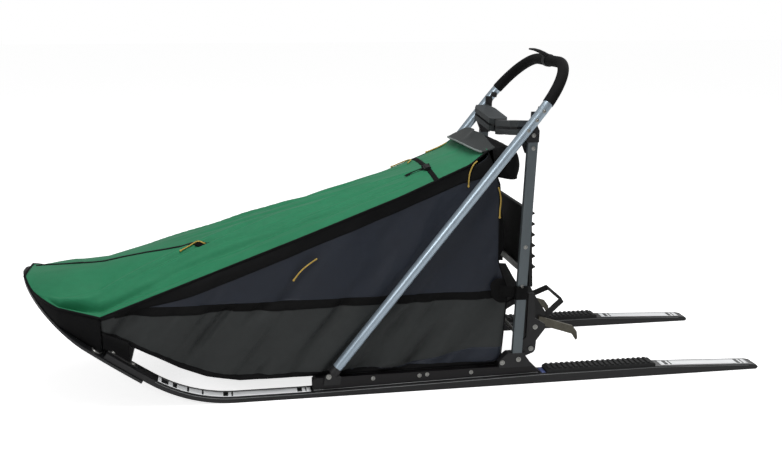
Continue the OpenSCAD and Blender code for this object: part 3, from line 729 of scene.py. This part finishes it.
def back_point(y_share, z):
    half = side_y(z) - 0.003
    sag = 0.004 * wobble(0, y_share, z * 2, 4, 1.7) + 0.002 * wobble(0, y_share * 3, z * 6, 3, 4.2)
    return Vector((lookup(z, BACK) - 0.002 + sag * (1 - y_share ** 4), half * y_share, z))


BACK_LOW = 0.068
BACK_HIGH = 0.744
back_rows = [[back_point(-1 + 2 * j / 40, BACK_LOW + (BACK_HIGH - BACK_LOW) * i / 60)
              for j in range(41)] for i in range(61)]
back = grid("back_fabric", back_rows, thickness=FABRIC_T)
on_sled(back, BLACK_CLOTH)
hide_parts("bag_back")


def pocket(name, half, profile, puff, seed):
    """A stuffed pocket: a side view profile carried across, with its ends drawn in and its
    faces crowned and creased."""
    path = curve_through([(x, 0, z) for x, z in profile], steps=7)
    cols = len(path)
    mid_x = sum(p.x for p in path) / cols
    mid_z = sum(p.z for p in path) / cols
    count = 44
    points, faces = [], []
    for i in range(count + 1):
        share = -1 + 2 * i / count
        y = half * math.sin(share * math.pi / 2)
        draw = 1 - abs(share) ** 5 * 0.28
        for k, p in enumerate(path):
            bulge = puff * math.sin(math.pi * k / (cols - 1)) * (1 - share ** 2)
            crease = 0.0035 * wobble(y * 1.4, p.x * 3, p.z, 22, seed)
            x = p.x + (bulge + crease) * (1 if p.x > mid_x else 0.2)
            points.append((path[0].x + (x - path[0].x) * draw, y,
                           mid_z + (p.z - mid_z) * (0.9 + 0.1 * draw)))
            if i < count and k < cols - 1:
                a = i * cols + k
                faces.append((a, a + 1, a + cols + 1, a + cols))
    faces += [tuple(reversed(range(cols))), tuple(range(count * cols, (count + 1) * cols))]
    made = add_mesh(name, points, faces)
    on_sled(made, BLACK_CLOTH)
    return made


def back_x(z):
    return lookup(z, BACK)


dome = pocket("rear_pocket_fabric", 0.184, [
    (back_x(0.665) + 0.001, 0.665), (X_POST + 0.018, 0.655), (X_POST + 0.027, 0.668),
    (X_POST + 0.030, 0.715), (X_POST + 0.018, 0.746), (X_POST - 0.03, 0.764),
    (back_x(0.744) + 0.008, 0.754)], 0.004, 3.3)
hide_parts("rear_pocket")
pouch = pocket("hook_pouch_fabric", 0.188, [
    (back_x(0.405) + 0.001, 0.405), (X_POST - 0.034, 0.402), (X_POST - 0.018, 0.436),
    (X_POST - 0.020, 0.500), (X_POST - 0.026, 0.548), (X_POST - 0.044, 0.590),
    (back_x(0.596) + 0.003, 0.596)], 0.005, 9.1)
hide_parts("hook_pouch")


# The grey flap between the bag's rear corners and the brace

def flap_point(a, b, lift=0.0):
    """a across (-1 to 1), b from the bound front edge (0) to the rear rim (1)."""
    near = (1 - a) / 2
    y = a * 0.194 * (1 - 0.12 * b ** 3 - 0.22 * smooth(0.0, 1.0, a) * b ** 2)
    front_x = 0.204 + 0.018 * near + 0.022 * a ** 4
    rim_x = 0.258 + 0.034 * near - 0.016 * hump(a, -0.12, 0.16)
    x = front_x + (rim_x - front_x) * b
    rise = 0.026 * smooth(-0.95, -0.1, a) * (1 - 0.35 * smooth(0.75, 1.0, a))
    z = 0.757 - 0.008 * abs(a) ** CROWN_POWER + 0.011 * b + rise * b ** 1.6
    return Vector((x, y, z + lift + 0.0015 * wobble(x, y, z, 18, 6.0)))


flap = grid("flap_fabric", [[flap_point(-1 + 2 * j / 48, i / 20) for j in range(49)]
                            for i in range(21)], thickness=0.002)
on_sled(flap, GREY_CLOTH)
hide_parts("back_flap")
bound = [flap_point(-1 + 2 * j / 60, 0.0, 0.0005) for j in range(61)]
on_sled(tube("flap_binding", bound, 0.0032), BINDING)
rim = ([flap_point(-1, k / 12, 0.0) for k in range(13)]
       + [flap_point(-1 + 2 * j / 40, 1.0) for j in range(1, 41)]
       + [flap_point(1, 1 - k / 12, 0.0) for k in range(1, 13)])
on_sled(tube("flap_rim", rim, 0.0026), GREY_CLOTH)


# ---- Strap and buckle over the cover

STRAP_U = 0.857
BUCKLE_V = -0.42
strap_line = [(STRAP_U + 0.004 * abs(k / 30 - 1), -1 + k / 30) for k in range(61)]
on_sled(strip_on("cover_strap", strap_line, 0.016, 0.002, 0.0016), WEBBING)
tail_line = [(STRAP_U - 0.001 - 0.058 * k / 14, BUCKLE_V + 0.05 * math.sin(k / 4))
             for k in range(15)]
on_sled(strip_on("strap_tail", tail_line, 0.014, 0.005, 0.0016), WEBBING)


def buckle_plate(outline, depth):
    """A bevelled plate on the cover, from an outline given along and across it."""
    c = cover_surface(STRAP_U, BUCKLE_V, 0.0045)
    along = (cover_surface(STRAP_U + 0.01, BUCKLE_V)
             - cover_surface(STRAP_U - 0.01, BUCKLE_V)).normalized()
    sideways = (cover_surface(STRAP_U, BUCKLE_V + 0.02)
                - cover_surface(STRAP_U, BUCKLE_V - 0.02)).normalized()
    near = [c + along * a + sideways * b for a, b in outline]
    return prism("plate", near, [p + upward(along, sideways) * depth for p in near])


buckle = join("strap_buckle", [
    buckle_plate([(-0.011, -0.017), (0.011, -0.017), (0.012, 0.002), (0.008, 0.018),
                  (-0.008, 0.018), (-0.012, 0.002)], 0.006),
    buckle_plate([(-0.005, -0.020), (0.005, -0.020), (0.005, 0.021), (-0.005, 0.021)], 0.0085),
    buckle_plate([(-0.014, 0.019), (0.014, 0.019), (0.014, 0.024), (-0.014, 0.024)], 0.006)])
on_sled(buckle, NYLON)


# ---- Cords

CORD_D = 0.0045
KNOT = [(0.0008, -0.004), (0.0028, -0.003), (0.0036, 0.0), (0.0028, 0.003), (0.0008, 0.004)]


def cord(name, points):
    path = curve_through(points)
    made = tube(name, path, CORD_D / 2)
    knot = lathe(f"{name}_knot", KNOT, path[-1], (path[-1] - path[-2]).normalized(), sides=10)
    for piece in (made, knot):
        on_sled(piece, YELLOW)


def near_side(*places):
    """Points off the bag's near side, from stations, heights and distances out."""
    return [(x, -(side_y(z) + out), z) for x, z, out in places]


def on_cover(*places):
    return [tuple(cover_surface(u, v, lift)) for u, v, lift in places]


cord("corner_cord", near_side((0.226, 0.723, 0.004), (0.212, 0.712, 0.009), (0.202, 0.690, 0.008),
                              (0.198, 0.668, 0.007), (0.196, 0.646, 0.007)))
cord("panel_cord", near_side((-0.288, 0.438, 0.005), (-0.312, 0.424, 0.009),
                             (-0.338, 0.404, 0.009), (-0.362, 0.376, 0.008)))
cord("zip_cord", on_cover((0.262, -0.475, 0.007), (0.245, -0.43, 0.006), (0.225, -0.46, 0.005),
                          (0.2, -0.50, 0.005)))
cord("rear_cord", near_side((0.294, 0.640, 0.005), (0.299, 0.620, 0.007), (0.301, 0.598, 0.007),
                            (0.298, 0.570, 0.007), (0.297, 0.545, 0.006)))
cord("ridge_cord_front", on_cover((0.83, 0.35, 0.006), (0.845, 0.5, 0.007), (0.838, 0.72, 0.006),
                                  (0.80, 0.86, 0.006)))
cord("ridge_cord_rear", on_cover((0.965, 0.9, 0.006), (0.945, 0.93, 0.008), (0.925, 0.90, 0.007),
                                 (0.905, 0.93, 0.006)))


# ---- Bolts

def bolts(name, radius, places):
    """Bolts that face outward at like places on both sides."""
    made = [bolt((x, side * y, z), (0, side, 0), radius)
            for x, y, z in places for side in (-1, 1)]
    on_sled(join(name, made), STEEL)


RAIL_OUT = RUNNER_Y + RAIL_HALF
POST_OUT = 0.294
UP_LEG = Vector((math.cos(BOW_SLOPE), 0, math.sin(BOW_SLOPE)))
leg_places = [BOW_FOOT + UP_LEG * along + Vector((0, BOW_HALF + BOW_R - 0.0002, 0))
              for along in (0.945, 0.985, 1.02)]
bolts("rail_bolts", 0.0045, [(-0.12, RAIL_OUT, 0.048), (0.03, RAIL_OUT, 0.048),
                             (0.055, RAIL_OUT, 0.050), (0.2, RAIL_OUT, 0.048)])
bolts("stanchion_bolts", 0.0045, [(0.381, POST_OUT, 0.772), (0.366, POST_OUT, 0.459),
                                  (0.358, POST_OUT, 0.330), (0.381, POST_OUT, 0.812)])
bolts("foot_bolts", 0.0055, [(0.354, POST_OUT, 0.086), (0.30, POST_OUT, 0.078),
                             (0.417, 0.262, 0.182), (0.404, 0.265, 0.110)])
bolts("bow_foot_bolts", 0.0055, [(-0.262, RUNNER_Y + 0.0283, 0.066)])
bolts("leg_bolts", 0.004, leg_places)


# ---- Strap from the bag's rear corner round each stanchion, and clips inside the bow's legs

def rounded_loop(x, half_x, y0, y1, radius, z):
    """A rectangle with rounded corners, as a closed ring of points."""
    corners = ((x + half_x - radius, y1 - radius), (x - half_x + radius, y1 - radius),
               (x - half_x + radius, y0 + radius), (x + half_x - radius, y0 + radius))
    loop = []
    for quarter, (cx, cy) in enumerate(corners):
        for k in range(6):
            a = math.radians(90 * quarter + 18 * k)
            loop.append(Vector((cx + radius * math.cos(a), cy + radius * math.sin(a), z)))
    return loop + loop[:1]


STRAP_Z = 0.31
for label, side in SIDES:
    rings = []
    for k in range(9):
        z = 0.288 + 0.044 * k / 8
        grow = 0.0006 * math.sin(math.pi * k / 8)
        loop = rounded_loop(post_x(z), 0.0175 + grow, 0.2735 - grow, 0.2965 + grow, 0.004, z)
        rings.append([(p.x, side * p.y, p.z) for p in loop])
    on_sled(grid(f"post_strap_{label}", rings, thickness=FABRIC_T, flip=side > 0),
            WEBBING)
    lug = []
    x_post, x_bag = post_x(STRAP_Z) - 0.017, back_x(STRAP_Z) - 0.030
    y_post, y_bag = 0.278, side_y(STRAP_Z) + 0.006
    for k in range(13):
        t = k / 12
        x = x_post + (x_bag - x_post) * t
        y = side * (y_post + (y_bag - y_post) * smooth(0, 1, t))
        lug.append([(x, y, 0.292 + 0.036 * j / 6) for j in range(7)])
    on_sled(grid(f"post_strap_lug_{label}", lug, thickness=0.002, flip=side < 0),
            WEBBING)
    patch = []
    for k in range(13):
        z = 0.272 + 0.078 * k / 12
        reach = 0.052 * (1 - abs(k / 6 - 1) ** 3 * 0.6)
        patch.append([(back_x(z) - 0.004 - reach * j / 8,
                       side * (side_y(z) + 0.0042 - 0.0012 * (j / 8) ** 4), z) for j in range(9)])
    on_sled(grid(f"corner_patch_{label}", patch, thickness=TAPE_T, flip=side > 0),
            WEBBING)
    clips = []
    for z in (0.868, 0.888):
        x = BOW_FOOT.x + (z - BOW_FOOT.z) / math.tan(BOW_SLOPE)
        outline = [(x - 0.012, z - 0.007), (x + 0.008, z - 0.010), (x + 0.011, z + 0.006),
                   (x - 0.006, z + 0.010)]
        clips.append(prism("clip", *([(a, side * y, b) for a, b in outline]
                                     for y in (0.2755, 0.262))))
    on_sled(join(f"leg_clips_{label}", clips), NYLON)


# ---- Film panels and painted edge highlight lines on the runners, and painted edge highlight strips on the rails

def runner_patch(name, side, x0, x1, half, lift, count=4, thickness=0.0):
    """A film on a runner's top between two stations."""
    rows = []
    for i in range(count + 1):
        x, z = runner_top(x0 + (x1 - x0) * i / count, lift)
        rows.append([(x, side * RUNNER_Y + half * (k / 2 - 1), z) for k in range(5)])
    return grid(name, rows, thickness=thickness)


FILM_LIFT = 0.0006
FILM_T = 0.0004
# Bars printed on the films: start, end and half width
BARS = ((-0.775, -0.755, 0.018), (-0.742, -0.730, 0.018), (-0.700, -0.694, 0.018),
        (-0.655, -0.650, 0.018), (-0.590, -0.575, 0.018), (-0.565, -0.560, 0.018),
        (-0.36, -0.345, 0.016), (-0.335, -0.331, 0.016), (0.868, 0.880, 0.017),
        (0.888, 0.893, 0.017), (1.128, 1.140, 0.017), (1.148, 1.153, 0.017))


def face_strip(side, face, half, from_x, to_x, count, low, section):
    """A raised strip along a runner's or rail's face, from (out, up) points of its section."""
    y = side * RUNNER_Y + face * half
    rows = []
    for i in range(count + 1):
        x, z = runner_top(from_x + (to_x - from_x) * i / count, low)
        rows.append([(x, y + face * out, z + up) for out, up in section])
    return rows


for label, side in SIDES:
    for name, x0, x1, half, count, material in (
            ("front_film", -0.785, -0.318, 0.022, 40, WHITE_FILM),
            ("tail_film", 0.852, 1.168, 0.022, 40, WHITE_FILM),
            ("gap_film", 0.4365, 0.4505, 0.024, 4, BLUE_FILM)):
        on_sled(runner_patch(f"{name}_{label}", side, x0, x1, half, FILM_LIFT, count, FILM_T),
                material)
    stripes = join(f"film_stripes_{label}",
                   [runner_patch("bar", side, x0, x1, half, 0.0011) for x0, x1, half in BARS])
    stripes.modifiers.new("thickness", "SOLIDIFY").thickness = 0.0003
    on_sled(stripes, RUNNER)
    # A pale strip low on each face of the rail, a painted edge highlight
    section = ((0, 0.0005), (0.0012, 0.0008), (0.0012, 0.0022), (0, 0.0026))
    strips = [grid("edge", face_strip(side, face, RAIL_HALF + 0.0002, -0.31, 0.425, 30, 0, section),
                   flip=face < 0) for face in (-1, 1)]
    on_sled(join(f"painted_edge_highlight_strips_{label}", strips), PAINTED_EDGE_HIGHLIGHT)

# A pale line on each face of the runners, a painted edge highlight
for label, side in SIDES:
    section = ((0, -0.0011), (0.0006, -0.0009), (0.0006, 0.0003), (0, 0.0005))
    lines = [grid("line", face_strip(side, face, RUNNER_HALF + 0.0001, -0.79, 1.165, 120, -0.0035,
                                     section), flip=face > 0) for face in (-1, 1)]
    on_sled(join(f"painted_edge_highlight_lines_{label}", lines), PAINTED_EDGE_HIGHLIGHT)


# ---- Strips and bolts on the brush bow

def off_sheet(x, y, up):
    """A point over the brush bow's inner face, and the face's normal there."""
    a = math.asin((NOSE_CENTRE[0] - x) / NOSE_R)
    px, pz = sheet_point(x, up)
    return Vector((px, y, pz)), Vector((math.sin(a), 0, math.cos(a)))


STRIP_FRONT = -0.938
STRIP_REAR = -0.852
BRIDLE_X = -0.9607
for label, side in SIDES:
    rows = []
    for i in range(25):
        x = STRIP_FRONT + (STRIP_REAR - STRIP_FRONT) * i / 24
        rows.append([off_sheet(x, side * RUNNER_Y + out, up)[0] for out, up in (
            (-0.012, 0.0186), (-0.011, 0.0206), (0.011, 0.0206), (0.012, 0.0186))])
    on_sled(grid(f"tip_strip_{label}", rows, thickness=0.001), COATED)
    tips = [bolt(*off_sheet(x, side * RUNNER_Y, 0.0212), 0.006) for x in (-0.925, -0.868)]
    on_sled(join(f"tip_bolts_{label}", tips), STEEL)
    px, pz = sheet_point(BRIDLE_X, 0.0)
    normal = off_sheet(px, 0, 0)[1]
    centre = Vector((px, side * (RUNNER_Y + 0.002), pz)) + normal * 0.0008
    ring = []
    for k in range(32):
        t = 2 * math.pi * k / 32
        spoke = Vector((0, 1, 0)) * math.cos(t) + normal.cross(Vector((0, 1, 0))) * math.sin(t)
        ring.append(centre + spoke * 0.0148)
    on_sled(tube(f"bridle_eyelet_{label}", ring, 0.0022, closed=True), STEEL)


# ---- Stage, camera and light

def area_light(name, where, target, size, power):
    data = bpy.data.lights.new(name, "AREA")
    data.shape = "RECTANGLE"
    data.size, data.size_y = size
    data.energy = power
    obj = bpy.data.objects.new(name, data)
    obj.location = where
    obj.rotation_euler = (Vector(target) - Vector(where)).to_track_quat("-Z", "Y").to_euler()
    bpy.context.scene.collection.objects.link(obj)


area_light("over", (0.2, -0.6, 4.6), (0, 0, 0.3), (3.2, 2.4), 120)
area_light("front_left", (-3.2, -4.2, 3.0), (0, 0, 0.4), (1.8, 1.5), 60)
area_light("rear_right", (3.6, 3.4, 2.6), (0, 0, 0.4), (2.2, 2.2), 40)

world = bpy.data.worlds.new("studio")
bpy.context.scene.world = world
world.use_nodes = True
tree = world.node_tree
background = tree.nodes["Background"]
background.inputs["Color"].default_value = (1, 1, 1, 1)
rays = node(tree, "ShaderNodeLightPath")
seen = node(tree, "ShaderNodeMath", operation="MAXIMUM")
tree.links.new(rays.outputs["Is Camera Ray"], seen.inputs[0])
tree.links.new(rays.outputs["Is Transmission Ray"], seen.inputs[1])
strength = node(tree, "ShaderNodeMapRange")
strength.inputs["To Min"].default_value = 0.24
strength.inputs["To Max"].default_value = 1.0
tree.links.new(seen.outputs[0], strength.inputs["Value"])
tree.links.new(strength.outputs["Result"], background.inputs["Strength"])

floor_half = 30
floor = add_mesh("floor", [(-floor_half, -floor_half, 0), (floor_half, -floor_half, 0),
                           (floor_half, floor_half, 0), (-floor_half, floor_half, 0)],
                 [(0, 1, 2, 3)], smooth_faces=False)
floor.location.z = -0.0005
paper = bpy.data.materials.new("paper_floor")
paper.use_nodes = True
tree = paper.node_tree
shader = tree.nodes["Principled BSDF"]
shader.inputs["Base Color"].default_value = (0.86, 0.86, 0.86, 1)
shader.inputs["Roughness"].default_value = 0.9
shader.inputs["Specular IOR Level"].default_value = 0.1
shader.inputs["Emission Color"].default_value = (1, 1, 1, 1)
rays = node(tree, "ShaderNodeLightPath")
glow = node(tree, "ShaderNodeMath", operation="MULTIPLY")
glow.inputs[1].default_value = 0.78
tree.links.new(rays.outputs["Is Camera Ray"], glow.inputs[0])
tree.links.new(glow.outputs[0], shader.inputs["Emission Strength"])
floor.data.materials.append(paper)

camera_data = bpy.data.cameras.new("camera")
camera_data.sensor_width = 36
camera_data.lens = 45.2
camera_data.clip_end = 200
camera = bpy.data.objects.new("camera", camera_data)
camera.location = (-0.560, -3.181, 1.201)
camera.rotation_euler = (math.radians(76.89), 0, math.radians(-9.744))
bpy.context.scene.collection.objects.link(camera)
bpy.context.scene.camera = camera
bpy.context.scene.view_settings.view_transform = "Standard"
